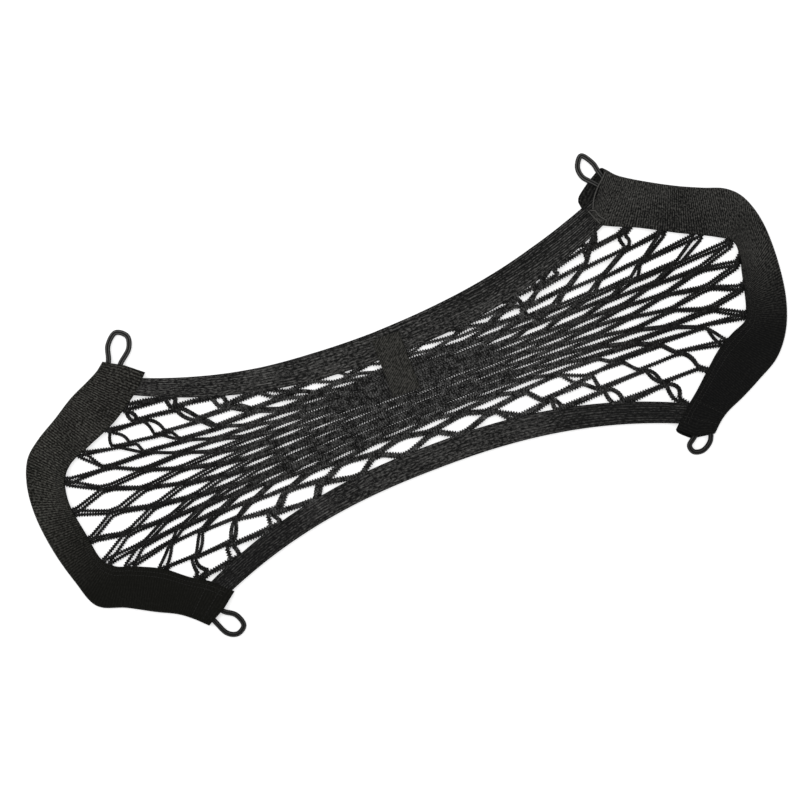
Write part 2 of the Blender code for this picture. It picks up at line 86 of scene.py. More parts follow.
# HELD_KNOTS, near the corners and the bands, in tenths of a millimetre: column, row, then for the front
# and the back net x, y, half of the joint, bow of its steep leg
HELD_KNOTS = (
    (0, 19, -2085, 690, 15, -16, -2130, 652, 80, 8), (0, 17, -2290, 565, 42, -14, -2325, 555, 105, 18),
    (1, 18, -2025, 556, 42, 10, -1985, 549, 42, 18), (1, 16, -2255, 428, 28, 0, -2122, 408, 26, 0),
    (2, 19, -1735, 546, 18, -14, -1700, 540, 32, 2), (0, 3, -2290, -563, 30, 3, -2240, -578, 40, 6),
    (1, 4, -2115, -407, 20, 0, -2095, -413, 28, 0), (2, 3, -1872, -405, 20, 0, -1845, -410, 24, 0),
    (1, 2, -1993, -577, 22, 2, -1970, -580, 22, 12), (0, 1, -2070, -720, 60, -4, -2040, -738, 110, -22),
    (3, 2, -1590, -418, 20, 0, -1572, -420, 22, 0), (2, 1, -1705, -580, 25, -10, -1672, -583, 14, 8),
    (16, 1, 1395, -488, 20, -10, 1425, -494, 36, 26), (15, 2, 1250, -383, 24, 0, 1345, -357, 26, 0),
    (17, 2, 1740, -458, 30, -14, 1752, -461, 34, 16), (18, 1, 1858, -613, 15, -4, 1875, -617, 26, 42),
    (18, 3, 2062, -433, 30, 16, 2052, -438, 32, 14), (19, 2, 2246, -600, 95, 0, 2238, -606, 90, 0),
    (18, 5, 2285, -312, 30, 4, 2295, -318, 30, -6), (19, 18, 2080, 585, 150, 0, 2095, 570, 110, 0),
    (18, 17, 1930, 453, 28, -4, 1955, 453, 28, 22), (17, 18, 1598, 443, 26, 16, 1605, 446, 26, 4),
    (18, 19, 1668, 556, 26, 2, 1725, 575, 30, 4), (16, 19, 1310, 433, 95, -4, 1215, 418, 30, 0),
    (14, 19, 930, 355, 85, 0), (3, 18, -1600, 394, 26, 0, -1555, 393, 26, 0),
    (18, 15, 2035, 336, 30, 0, 2050, 325, 30, 0), (15, 18, 1075, 325, 40, 0, 1095, 322, 40, 0)
)
# HELD_STRAIGHT, with straight steep legs: half of the joint, then column, row, x, y in the front net, x, y
# in the back net
HELD_STRAIGHT = {
    28: ((2, 17, -1918, 399, -1835, 396), (17, 16, 1695, 323, 1715, 320), (16, 17, 1405, 332, 1420, 328)),
    35: ((17, 4, 1905, -302, 1912, -326), (16, 3, 1575, -318, 1590, -340), (14, 17, 1000, 255, 1030, 232),
         (15, 16, 1240, 243, 1270, 220), (16, 15, 1540, 232, 1570, 209), (17, 14, 1880, 228, 1930, 206),
         (18, 13, 2260, 222, 2290, 200), (15, 4, 1400, -232, 1430, -250), (16, 5, 1720, -228, 1750, -248),
         (17, 6, 2050, -216, 2075, -234), (2, 15, -2060, 310, -2030, 295), (3, 16, -1760, 303, -1730, 286),
         (4, 17, -1470, 300, -1430, 284), (5, 18, -1190, 322, -1130, 310),
         (1, 6, -2340, -340, -2300, -355), (2, 5, -2010, -320, -1970, -334),
         (3, 4, -1710, -316, -1670, -330), (4, 3, -1430, -326, -1400, -336),
         (5, 2, -1140, -346, -1120, -352)),
    45: ((15, 14, 1320, 160, 1350, 152), (16, 13, 1680, 146, 1705, 138), (17, 12, 2040, 132, 2065, 124),
         (15, 6, 1460, -162, 1485, -172), (16, 7, 1780, -144, 1805, -154), (3, 14, -1810, 212, -1775, 198),
         (4, 15, -1515, 214, -1480, 201), (2, 7, -2090, -226, -2060, -242),
         (3, 6, -1780, -228, -1750, -242), (4, 5, -1490, -234, -1460, -246),
         (5, 4, -1210, -246, -1180, -254)),
}
# BACK_BESIDE: x, how far the back net's knots lie off the front net's along and across
BACK_BESIDE = tenths(
    (-1900, 30, -22), (-1500, 32, -24), (-1100, 22, -15), (-700, 16, -9), (-400, 8, -4), (600, 8, -3),
    (1000, 10, -5), (1400, 16, -9), (1900, 15, -10))
# it follows the front net within CLOSE_IN and not beyond CLOSE_OUT, fading out between two rows
CLOSE_OUT, CLOSE_IN, CLOSE_ROWS = 0.236, 0.206, (15.5, 18.5)
# BACK_LIFT, BACK_SHIFT: row, how far the back net also lies up and along in the middle, fading out at
# SHIFT_OUT over SHIFT_OVER
BACK_LIFT = ((0, 0.0), (9, 0.0), (12, 0.0012), (17, 0.0014), (20, 0.0))
BACK_SHIFT = ((0, 0.0), (2, 0.0), (5, 0.0080), (15, 0.0080), (18, 0.0))
SHIFT_OUT, SHIFT_OVER = 0.120, 0.060

# BINDINGS: outer x, outer y, inner x, inner y
BINDINGS = {
    "left": tenths(
        (-2120, 1077, -1865, 865), (-2190, 1023, -1940, 790), (-2290, 973, -2035, 718),
        (-2450, 900, -2220, 602), (-2620, 795, -2450, 507), (-2800, 690, -2620, 435),
        (-2930, 575, -2710, 340), (-3005, 380, -2745, 210), (-3025, 130, -2745, 80),
        (-2990, -160, -2710, -130), (-2920, -430, -2675, -330), (-2830, -663, -2590, -430),
        (-2620, -760, -2460, -480), (-2420, -870, -2250, -580), (-2270, -945, -2085, -710),
        (-2170, -1020, -1935, -805), (-2080, -1107, -1820, -917)),
    "right": tenths(
        (2020, 1090, 1760, 860), (2110, 1000, 1830, 710), (2295, 883, 2115, 573), (2495, 773, 2375, 433),
        (2675, 690, 2615, 313), (2840, 620, 2750, 220), (2950, 500, 2760, 100), (3015, 280, 2730, -30),
        (3020, -20, 2700, -160), (2980, -320, 2665, -290), (2890, -560, 2620, -385),
        (2750, -737, 2495, -440), (2560, -847, 2355, -520), (2400, -927, 2235, -620),
        (2260, -987, 2085, -755), (2180, -1037, 1955, -860), (2110, -1100, 1840, -967)),
}
# LEAF_SLIPS: how far the lower leaf stands out at the top and at the bottom end
LEAF_SLIPS = {"left": (0.0, 0.0), "right": (0.0080, 0.0025)}
# LEAF_CUT: how far the upper leaf falls back at its open edge at the top end
LEAF_CUT = {"left": 0.0, "right": 0.0075}
CORNER_ROUND = 0.0070  # the lower leaf's corner at the top end is round over this width
# END_REACH: how far both leaves reach past the solids' ends, at the open edge, halfway and at the fold
END_REACH = {"left": ((0.0030, 0.0030, 0.0), (0.0030, 0.0035, 0.0010)),
             "right": ((0.0, 0.0, 0.0), (0.0015, 0.0060, 0.0012))}
END_ZONE = 0.014  # all of these fade out over this length from the end
RIPPLE, SWELL = 0.00012, 0.00015  # the upper leaf's ripple beside its seam, and its slow unevenness

CORD_WIDTH = 0.0041  # the braid's fluffy outside
DROP_FROM, DROP_TO = 0.26, 0.42  # shares of a loop's length over which it comes down to the surface
LOOPS = {
    "top_left": tenths(
        (-2120, 985), (-2070, 1075), (-2035, 1180), (-1950, 1251), (-1873, 1195), (-1895, 1100),
        (-1985, 1022), (-2045, 960)),
    "top_right": tenths(
        (2000, 985), (1970, 1090), (1950, 1170), (1890, 1251), (1833, 1180), (1840, 1095), (1900, 1025),
        (1960, 955)),
    "bottom_left": tenths(
        (-2060, -990), (-2015, -1110), (-1965, -1215), (-1890, -1251), (-1822, -1205), (-1850, -1110),
        (-1930, -1050), (-1990, -965)),
    "bottom_right": tenths(
        (1988, -1010), (1940, -1078), (1878, -1130), (1895, -1190), (1965, -1203), (2035, -1160),
        (2068, -1090), (2088, -995)),
}
TAB_LEFT, TAB_RIGHT, TAB_TOP, TAB_BOTTOM = -0.0125, 0.0098, 0.0490, 0.0020
TAB_THICKNESS = 0.0012

# ---- sizes of what is only seen
STRING_WIDTH, STRING_THICKNESS = 0.00270, 0.0015
# shares by which the strings are wider: gathered in the middle, crowded beside the tab, slack near the
# bands, and stretched in the left end, where they are narrower, and in the right end
SWOLLEN, CROWDED, BESIDE_BAND, DRAWN = 0.12, 0.12, 0.32, (-0.03, 0.07)
# where that ends or begins, and over what length
GATHERED_IN, CROWDED_IN, CROWDED_ABOVE = (0.110, 0.050), (0.085, 0.025), (0.002, 0.008)
GATHERED_BELOW, SLACK_WITHIN = (0.029, 0.006), (0.026, 0.012)
SLACK_BESIDE, DRAWN_OUT = (0.05, 0.03), (0.090, 0.030)
LOWER_FROM, LOWER_OVER, LOWER_SHARE = 0.036, 0.016, 0.60  # the gathering is weaker in the lower part
STITCH_PITCH = 0.0021  # one knitted stitch along a string
STITCH_POINTS = 4  # points of the path in each stitch
STRING_TOOTH = 0.42  # how far a stitch bulges, as a share of the string's half-width
JOINT_HALF = 0.0040  # half of the stretch over which two strings are knitted together
JOINT_SPREAD = 0.00105  # each string's distance from the middle of the joint
SHORT_LEG, LEAST_PULL = 0.8, 0.0005  # a leg shorter than this share of its rest hardly turns a joint
LEG_POINTS = 9
SOFTEN = 0.0016  # strings bend over about this length
SWAY, SWAY_EVERY = 0.00010, 16  # a string's unevenness, and how many of its points share one
TUCK_IN, TUCK_UNDER = 0.011, 0.0012  # how far strings run in between the leaves, and under a band's edge
RIB_PITCH, RIB_DEPTH = 0.0021, 0.00016  # lengthways ribs of the elastic bands
TAB_RIB_PITCH, TAB_RIB_DEPTH, TWILL_PITCH = 0.0011, 0.00010, 0.0019
THREAD_PITCH, THREAD_STEP = 0.0016, 0.00037  # threads of a band's rib, and how far the next rib's lie along
BRAID_TURN, BRAID_STRANDS = 0.0066, 8.0  # the cord's braid goes once round in this length
# TAPE_LOW_LIGHT: how much of a binding's brightness the painted shade leaves at its bottom end
TAPE_PITCH, TAPE_LOW_LIGHT = {"left": 0.0019, "right": 0.0017}, {"left": 0.08, "right": 0.10}
SEWN_ABOVE = 0.00015  # sewing lies this far above the webbing
SEAM = {"Pitch": 0.0024, "Length": 0.0019, "Thread": 0.00045}
OVERLOCK = {"Pitch": 0.0011, "Length": 0.0018, "Thread": 0.0010}
# SEWN_OVER: ridges of thread over the right binding's top end
SEWN_OVER = (
    tenths((2012, 1062), (1965, 1018), (1905, 962), (1858, 900), (1828, 838)),
    tenths((1789, 825), (1814, 763), (1836, 715)),
    tenths((1814, 826), (1839, 813), (1851, 769), (1890, 718)),
)
# seed of the strings' random unevenness
SEED = 7

# how finely edges and surfaces are followed
BAND_SPAN, BAND_POINTS, BAND_STEP, BINDING_POINTS, SEAM_POINTS = 0.215, 431, 0.002, 801, 400
STATIONS, LEAF_POINTS, FOLD_POINTS = 221, 17, 9


# ==== curves in the plane
def smooth_through(points, stations):
    """Catmull-Rom through the points, at evenly spaced stations along the length."""
    knots = np.vstack([2 * points[0] - points[1], points, 2 * points[-1] - points[-2]])
    steps = np.linspace(0.0, 1.0, 12, endpoint=False)[:, None]
    parts = []
    for a, b, c, d in zip(knots[:-3], knots[1:-2], knots[2:-1], knots[3:]):
        parts.append(0.5 * (2 * b + (c - a) * steps + (2 * a - 5 * b + 4 * c - d) * steps ** 2
                            + (3 * b - a - 3 * c + d) * steps ** 3))
    dense = np.vstack(parts + [knots[-2:-1]])
    length = lengths_along(dense[:, :2])
    return between(stations * length[-1], length, dense)


def lengths_along(path):
    return np.r_[0.0, np.cumsum(np.linalg.norm(np.diff(path, axis=0), axis=1))]


def between(wanted, at, rows):
    """The rows of a table, each column read off at the wanted places."""
    return np.column_stack([np.interp(wanted, at, column) for column in rows.T])


def raised(path, height):
    return np.column_stack([path, np.full(len(path), height)])


def rising(value, start, over):
    return np.clip((value - start) / over, 0.0, 1.0)


def falling(value, end, over):
    return np.clip((end - value) / over, 0.0, 1.0)


def band_centre(edge, net, x):
    middle, bow = BAND_BOW[edge]
    slip = np.interp(x, *BACK_SLIPS.T) if (edge, net) == ("top", "back") else 0.0
    return middle + bow * (np.abs(x) / BOW_AT) ** BOW_POWER + slip


def band_half_width(edge, x):
    widest, lost = BAND_WIDTH[edge]
    return widest - lost * (x / BAND_REACH) ** 2


def band_inner_edge(edge, net):
    """The band's edge towards the net, as points that reach past both of its ends."""
    x, nudge = np.linspace(-BAND_SPAN, BAND_SPAN, BAND_POINTS), 1e-5
    slope = (band_centre(edge, net, x + nudge) - band_centre(edge, net, x - nudge)) / (2 * nudge)
    scale = np.sqrt(1 + slope ** 2)
    reach = (-1.0 if edge == "top" else 1.0) * band_half_width(edge, x)
    return np.column_stack([x - slope / scale * reach, band_centre(edge, net, x) + reach / scale])


def binding_edges(side, stations):
    rows = smooth_through(BINDINGS[side], stations)
    return rows[:, :2], rows[:, 2:]


def net_corner(side, edge, net):
    """Where the edge of a band meets the inner edge of a binding."""
    stations = np.linspace(0.0, 1.0, BINDING_POINTS)
    inner = binding_edges(side, stations)[1]
    half = stations < 0.5 if edge == "top" else stations > 0.5
    miss = np.abs(inner[:, 1] - np.interp(inner[:, 0], *band_inner_edge(edge, net).T))
    return inner[half][np.argmin(miss[half])]


# ==== the lattice of each net
def held_knots(net):
    """The knots that are held in place: x, y, half of the joint, bow of the steep leg."""
    first, spot = (2, slice(2, 4)) if net == "front" else (6, slice(4, 6))
    held = {row[:2]: tenths(*row[first:first + 4]) for row in HELD_KNOTS if len(row) > first}
    for half, rows in HELD_STRAIGHT.items():
        held.update({row[:2]: tenths(*row[spot], half, 0) for row in rows})
    return held


HELD = {net: held_knots(net) for net in ("front", "back")}


def edge_knots(net):
    which = 0 if net == "front" else 1
    columns, rows = np.arange(COLUMNS + 1), np.arange(ROWS + 1)
    places = {}
    for edge, table in (("bottom", BOTTOM_KNOTS), ("top", TOP_KNOTS)):
        held = np.r_[net_corner("left", edge, net)[0], table[:, which]]
        x = np.interp(columns, np.r_[0, columns[1::2]], held)
        places[edge] = np.column_stack([x, np.interp(x, *band_inner_edge(edge, net).T)])
    for side, table, known in (("left", LEFT_KNOTS, rows[1::2]), ("right", RIGHT_KNOTS, rows[2:-1:2])):
        inner = binding_edges(side, np.linspace(1.0, 0.0, BINDING_POINTS))[1]
        ends = [net_corner(side, edge, net)[1] for edge in ("bottom", "top")]
        held = np.r_[ends[0], table[:, which], ends[1]]
        y = np.interp(rows, np.r_[0, known, ROWS], held)
        places[side] = np.column_stack([np.interp(y, inner[:, 1], inner[:, 0]), y])
    for edge, row in (("bottom", 0), ("top", -1)):
        places["left"][row], places["right"][row] = places[edge][[0, -1]]
    return places


def relaxed_net(net):
    """Knots of a diamond net held at its edges, settled as slack or stretched elastic."""
    edges = edge_knots(net)
    u = np.linspace(0.0, 1.0, COLUMNS + 1)[:, None, None]
    v = np.linspace(0.0, 1.0, ROWS + 1)[None, :, None]
    bottom, top = edges["bottom"][:, None], edges["top"][:, None]
    left, right = edges["left"][None], edges["right"][None]
    place = ((1 - v) * bottom + v * top + (1 - u) * left + u * right
             - (1 - u) * (1 - v) * bottom[:1] - u * (1 - v) * bottom[-1:]
             - (1 - u) * v * top[:1] - u * v * top[-1:])
    knots = [(c, r) for c in range(COLUMNS + 1) for r in range(ROWS + 1) if (c + r) % 2]
    number = {knot: index for index, knot in enumerate(knots)}
    loose = HELD[net]
    held = np.array([c in (0, COLUMNS) or r in (0, ROWS) or (c, r) in loose for c, r in knots])[:, None]
    legs, pulls = [], []
    for c, r in knots:
        for step in (-1, 1):
            if (c + 1, r + step) in number:
                legs.append((number[c, r], number[c + 1, r + step]))
                row = min(r, r + step) + 0.5
                depth = min(row, ROWS - row, EDGE_ROWS) / EDGE_ROWS
                pulls.append(EDGE_PULL + (1 - EDGE_PULL) * depth)
    start, end = np.array(legs).T
    pulls = np.array(pulls)
    spots = np.array([loose[knot][:2] if knot in loose else place[knot] for knot in knots])
    drift = np.zeros_like(spots)
    for _ in range(RELAX_STEPS):
        along = spots[end] - spots[start]
        length = np.linalg.norm(along, axis=1)
        tension = np.maximum(length - LEG_REST, SLACK_PULL * length) * pulls / length
        force = np.zeros_like(spots)
        np.add.at(force, start, along * tension[:, None])
        np.add.at(force, end, -along * tension[:, None])
        drift = RELAX_GLIDE * drift + RELAX_GAIN * force
        spots = np.where(held, spots, spots + drift)
    if net == "back":
        front = relaxed_net("front")
        beside = np.array([front[knot] for knot in knots])
        beside = beside + between(beside[:, 0], BACK_BESIDE[:, 0], BACK_BESIDE[:, 1:])
        row, free = np.array([r for c, r in knots]), ~held[:, 0]
        close = (falling(np.abs(spots[:, 0]), CLOSE_OUT, CLOSE_OUT - CLOSE_IN)
                 * falling(row, CLOSE_ROWS[1], CLOSE_ROWS[1] - CLOSE_ROWS[0]) * free)[:, None]
        spots = spots * (1 - close) + beside * close
        middle = falling(np.abs(spots[:, 0]), SHIFT_OUT, SHIFT_OVER) * free
        spots[:, 1] += middle * np.interp(row, *np.transpose(BACK_LIFT))
        spots[:, 0] += middle * np.interp(row, *np.transpose(BACK_SHIFT))
    return {knot: spots[index] for knot, index in number.items()}


def even_steps(points, step):
    """The same path with points evenly spaced by about step, as seen from above."""
    length = lengths_along(points[:, :2])
    count = max(2, round(length[-1] / step) + 1)
    return between(np.linspace(0.0, length[-1], count), length, points)


def softened(points, step, over):
    """The path with its corners rounded over a length; its ends stay."""
    soft = points.copy()
    for _ in range(max(1, round((over / step) ** 2))):
        soft[1:-1] = 0.25 * soft[:-2] + 0.5 * soft[1:-1] + 0.25 * soft[2:]
    return soft


def swelling(x, y):
    """How wide the strings are at a place, as a share of their width."""
    out = np.abs(x)
    middle = falling(out, *GATHERED_IN)
    crowded = falling(out, *CROWDED_IN) * rising(y, *CROWDED_ABOVE)
    within = falling(y, *GATHERED_BELOW) * np.clip((y + LOWER_FROM) / LOWER_OVER, LOWER_SHARE, 1.0)
    above = y - band_centre("bottom", "front", x) - band_half_width("bottom", x)
    below = band_centre("top", "front", x) - band_half_width("top", x) - y
    slack = np.maximum(falling(above, *SLACK_WITHIN),
                       falling(below, *SLACK_WITHIN) * rising(out, *SLACK_BESIDE))
    drawn = rising(out, *DRAWN_OUT) * (1.0 - slack)
    return (1.0 + (SWOLLEN * middle + CROWDED * crowded) * within
            + BESIDE_BAND * slack + np.where(x < 0.0, *DRAWN) * drawn)


def joint(net, knots, knot, above):
    """Where a string enters and leaves the stretch in which it is knitted to its neighbour."""
    c, r = knot
    here = knots[knot]
    along, reaches = np.zeros(2), []
    for side in (-1, 1):
        for step in (-1, 1):
            if (c + side, r + step) in knots:
                way = (knots[c + side, r + step] - here) * side
                reach = np.linalg.norm(way)
                along += way * max(reach - SHORT_LEG * LEG_REST, LEAST_PULL)
                reaches.append(reach)
    along /= np.linalg.norm(along)
    across = np.array([-along[1], along[0]]) * (1.0 if above else -1.0)
    if knot in HELD[net]:
        half = HELD[net][knot][2]
    else:
        half = JOINT_HALF * min(1.0, np.mean(reaches) / LEG_REST - 0.1)
    middle = here + across * JOINT_SPREAD * swelling(*here)
    return middle - along * half, middle + along * half


def leg(net, before, knot, start, end):
    """Points between two joints, bowed where the string is slack, and whether it is."""
    chord = end - start
    length = np.linalg.norm(chord)
    share = np.linspace(0.0, 1.0, LEG_POINTS)[1:-1, None]
    points = start + chord * share
    steep = (knot[1] > before[1]) == ((before[0] < COLUMNS / 2) == (before[1] < ROWS / 2))
    across = np.array([chord[1], -chord[0]]) / length
    across *= math.copysign(1.0, across[0])
    if steep and before in HELD[net]:
        return points + across * HELD[net][before][3] * np.sin(math.pi * share), 1.0
    if length > SLACK_UNDER * LEG_REST:
        return points, 0.0
    sag = min(SAG_SHARE * math.sqrt(LEG_REST * SLACK_UNDER - length), MOST_SAG)
    return points + across * sag * (-1.0 if net == "front" else 1.0) * np.sin(math.pi * share), 1.0


def string_paths(net):
    """A path for each knitted string, x, y and slackness: it runs the whole length between two rows."""
    knots = relaxed_net(net)
    step = STITCH_PITCH / STITCH_POINTS
    rng = np.random.default_rng(SEED + (net == "back"))
    edges = {side: binding_edges(side, np.linspace(0.0, 1.0, 401)) for side in ("left", "right")}
    paths = []
    for row in range(ROWS):
        points, slack = [], []
        stops = [(c, row if (c + row) % 2 else row + 1) for c in range(COLUMNS + 1)]
        for index, knot in enumerate(stops):
            ends = joint(net, knots, knot, above=knot[1] == row)
            if index in (0, COLUMNS):
                outer, inner = edges["left" if index == 0 else "right"]
                near = np.argmin(np.linalg.norm(inner - knots[knot], axis=1))
                inwards = outer[near] - inner[near]
                inside = knots[knot] + inwards * (TUCK_IN / np.linalg.norm(inwards))
                ends = (inside, ends[1]) if index == 0 else (ends[0], inside)
            elif knot[1] in (0, ROWS):
                tuck = np.array([0.0, -TUCK_UNDER if knot[1] == 0 else TUCK_UNDER])
                ends = tuple(end + tuck for end in ends)
            if index:
                bowed, loose = leg(net, stops[index - 1], knot, points[-1], ends[0])
                points.extend(bowed)
                slack.extend([loose] * len(bowed))
            points.extend(ends)
            slack.extend([0.0, 0.0])
        rough = np.column_stack([np.array(points), slack])
        fine = even_steps(softened(even_steps(rough, step), step, SOFTEN), step)
        count = len(fine)
        wobble = rng.normal(0.0, 1.0, (count // SWAY_EVERY + 3, 2))
        fine[:, :2] += between(np.arange(count) / SWAY_EVERY, np.arange(len(wobble)), wobble) * SWAY
        paths.append(fine)
    return paths


# ==== node trees
class Term:
    """A socket that can be used in sums: an expression on terms adds its Math nodes."""

    def __init__(self, tree, socket):
        self.tree, self.socket = tree, socket

    def out(self, name):
        return Term(self.tree, self.socket.node.outputs[name])

    def maths(self, operation, *others, first=None):
        node = self.tree.nodes.new("ShaderNodeMath")
        node.operation = operation
        values = [self, *others] if first is None else [first, self]
        for socket, value in zip(node.inputs, values):
            feed(self.tree, socket, value)
        return Term(self.tree, node.outputs[0])

    def __add__(self, other):
        return self.maths("ADD", other)

    __radd__ = __add__

    def __sub__(self, other):
        return self.maths("SUBTRACT", other)

    def __rsub__(self, other):
        return self.maths("SUBTRACT", first=other)

    def __mul__(self, other):
        return self.maths("MULTIPLY", other)

    __rmul__ = __mul__

    def __truediv__(self, other):
        return self.maths("DIVIDE", other)

    def __neg__(self):
        return self * -1.0

    def __abs__(self):
        return self.maths("ABSOLUTE")

    def wave(self, pitch):
        """From 0 to 1 and back once in each pitch."""
        return (self * (2 * math.pi / pitch)).maths("COSINE") * 0.5 + 0.5

    def clamp(self):
        return self.maths("MAXIMUM", 0.0).maths("MINIMUM", 1.0)

    def step(self, low, high):
        """Rises smoothly from 0 at low to 1 at high."""
        share = ((self - low) / (high - low)).clamp()
        return share * share * (3.0 - 2.0 * share)


def feed(tree, socket, value):
    """Links a term to a socket, or sets the socket's own value."""
    if isinstance(value, Term):
        tree.links.new(value.socket, socket)
    else:
        socket.default_value = value


class Nodes:
    """A node tree being built; add() puts in a node with its settings and inputs."""

    def __init__(self, tree):
        self.tree = tree

    def add(self, kind, settings=None, inputs=None, output=0):
        node = self.tree.nodes.new(kind)
        for name, value in (settings or {}).items():
            setattr(node, name, value)
        for name, value in (inputs or {}).items():
            feed(self.tree, node.inputs[name], value)
        return Term(self.tree, node.outputs[output])

    def split(self, vector):
        """The X of a vector; its Y and Z are other outputs of the same node."""
        return self.add("ShaderNodeSeparateXYZ", None, {"Vector": vector})

    def joined(self, x, y, z=0.0):
        return self.add("ShaderNodeCombineXYZ", None, {"X": x, "Y": y, "Z": z})


class Recipe(Nodes):
    """A Geometry Nodes tree with named sizes, ending in Realize Instances and Set Material."""

    def __init__(self, name, *sizes):
        super().__init__(bpy.data.node_groups.new(name, "GeometryNodeTree"))
        sockets = [("Geometry", "INPUT", "Geometry"), *((size, "INPUT", "Float") for size in sizes),
                   ("Material", "INPUT", "Material"), ("Geometry", "OUTPUT", "Geometry")]
        for socket, way, kind in sockets:
            self.tree.interface.new_socket(socket, in_out=way, socket_type="NodeSocket" + kind)
        self.given = self.tree.nodes.new("NodeGroupInput")

    def size(self, name):
        return Term(self.tree, self.given.outputs[name])

    def attribute(self, name):
        return self.add("GeometryNodeInputNamedAttribute", {"data_type": "FLOAT"}, {"Name": name})

    def spot(self):
        return self.split(self.add("GeometryNodeInputPosition"))

    def stored(self, geometry, name, value):
        return self.add("GeometryNodeStoreNamedAttribute", {"data_type": "FLOAT", "domain": "POINT"},
                        {"Geometry": geometry, "Name": name, "Value": value})

    def scaled(self, geometry, x, y, z=1.0):
        return self.add("GeometryNodeTransform", None, {"Geometry": geometry, "Scale": self.joined(x, y, z)})

    def ring(self, count, width, height, *facts):
        """A ring of so many points that remember how far across and up they lie."""
        ring = self.add("GeometryNodeCurvePrimitiveCircle", None, {"Resolution": count, "Radius": 1.0})
        spot = self.spot()
        for fact, axis in zip(facts, "XY"):
            ring = self.stored(ring, fact, spot.out(axis))
        return self.scaled(ring, width * 0.5, height * 0.5)

    def paths(self):
        return self.add("GeometryNodeMeshToCurve", None, {"Mesh": self.size("Geometry")})

    def swept(self, section, girth):
        """The section swept along the paths, closed at their ends."""
        return self.finish(self.add("GeometryNodeCurveToMesh", None, {
            "Curve": self.paths(), "Profile Curve": section, "Scale": girth, "Fill Caps": True}))

    def finish(self, geometry):
        whole = self.add("GeometryNodeRealizeInstances", None, {"Geometry": geometry})
        dressed = self.add("GeometryNodeSetMaterial", None, {"Geometry": whole,
                                                             "Material": self.size("Material")})
        result = self.tree.nodes.new("NodeGroupOutput")
        self.tree.links.new(dressed.socket, result.inputs["Geometry"])
        return self

    def made(self, name, source, **inputs):
        """A plain mesh object grown by this recipe from a source mesh, with its sizes and Material."""
        thing = placed(name, source)
        modifier = thing.modifiers.new("recipe", "NODES")
        modifier.node_group = self.tree
        for item in self.tree.interface.items_tree:
            if item.in_out == "INPUT" and item.name in inputs:
                modifier[item.identifier] = inputs[item.name]
        return plain(thing)


def placed(name, data):
    thing = bpy.data.objects.new(name, data)
    bpy.context.scene.collection.objects.link(thing)
    return thing


def plain(thing):
    """The object with what its modifiers make as its own mesh, and no modifiers."""
    mesh = bpy.data.meshes.new_from_object(thing.evaluated_get(bpy.context.evaluated_depsgraph_get()))
    thing.modifiers.clear()
    thing.data = mesh
    mesh.name = thing.name
    return thing


def set_fact(mesh, fact, values):
    mesh.attributes.new(fact, "FLOAT", "POINT").data.foreach_set("value", values.astype(np.float32))


def path_mesh(name, paths, **facts):
    """A mesh of open paths; each fact is a list of one array of numbers for each path."""
    points, edges = [], []
    for path in paths:
        start = len(points)
        points.extend(path.tolist())
        edges.extend((start + i, start + i + 1) for i in range(len(path) - 1))
    mesh = bpy.data.meshes.new(name)
    mesh.from_pydata(points, edges, [])
    for fact, values in facts.items():
        set_fact(mesh, fact, np.concatenate(values))
    return mesh


def string_recipe():
    """Knitted string: a flat tube that bulges at each stitch where it is stretched."""
    r = Recipe("knitted_string", "Width", "Thickness", "Pitch", "Tooth")
    bulge = (r.attribute("along") / r.size("Pitch") * (2 * math.pi)).maths("COSINE")
    girth = r.attribute("girth") * (1.0 + bulge * r.size("Tooth") * r.attribute("taut"))
    return r.swept(r.ring(6, r.size("Width"), r.size("Thickness"), "across"), girth)


def webbing_recipe():
    """Woven elastic or webbing: a flat strip with ribs along it, its edges rounded."""
    r = Recipe("ribbed_strip", "Width", "Thickness", "Pitch", "Depth")
    section = r.add("GeometryNodeCurvePrimitiveQuadrilateral", None,
                    {"Width": r.size("Width"), "Height": r.size("Thickness")})
    section = r.add("GeometryNodeResampleCurve", None, {"Curve": section, "Count": 120})
    x = r.spot()
    outer = (abs(x) * 2.0 / r.size("Width")).step(0.90, 1.0)
    rib = abs((x / r.size("Pitch") * math.pi).maths("COSINE"))
    sunk = (1.0 - rib) * r.size("Depth") + outer * r.size("Thickness") * 0.22
    shift = r.joined(0.0, -sunk * x.out("Y").maths("SIGN"))
    # the edge fact also tells the finishes where to paint shade along the rounded edges
    section = r.stored(r.stored(section, "across", -x), "edge", outer)
    section = r.add("GeometryNodeSetPosition", None, {"Geometry": section, "Offset": shift})
    return r.swept(section, r.attribute("girth"))


def cord_recipe():
    """Round braided cord."""
    r = Recipe("braided_cord", "Diameter")
    return r.swept(r.ring(16, r.size("Diameter"), r.size("Diameter"), "across", "upward"), 1.0)


def stitch_recipe():
    """A row of sewn stitches laid along each path."""
    r = Recipe("stitches", "Pitch", "Length", "Thread")
    row = r.add("GeometryNodeResampleCurve", {"mode": "LENGTH"}, {"Curve": r.paths(),
                                                                  "Length": r.size("Pitch")})
    bead = r.add("GeometryNodeMeshUVSphere", None, {"Segments": 8, "Rings": 5, "Radius": 0.5})
    turned = r.add("GeometryNodeTransform", None, {"Geometry": bead, "Rotation": (0.0, math.pi / 2, 0.0)})
    stitch = r.scaled(turned, r.size("Length"), r.size("Thread"), r.size("Thread"))
    way = r.add("FunctionNodeAlignRotationToVector", {"axis": "X"},
                {"Vector": r.add("GeometryNodeInputTangent")})
    return r.finish(r.add("GeometryNodeInstanceOnPoints", None,
                          {"Points": row, "Instance": stitch, "Rotation": way}))


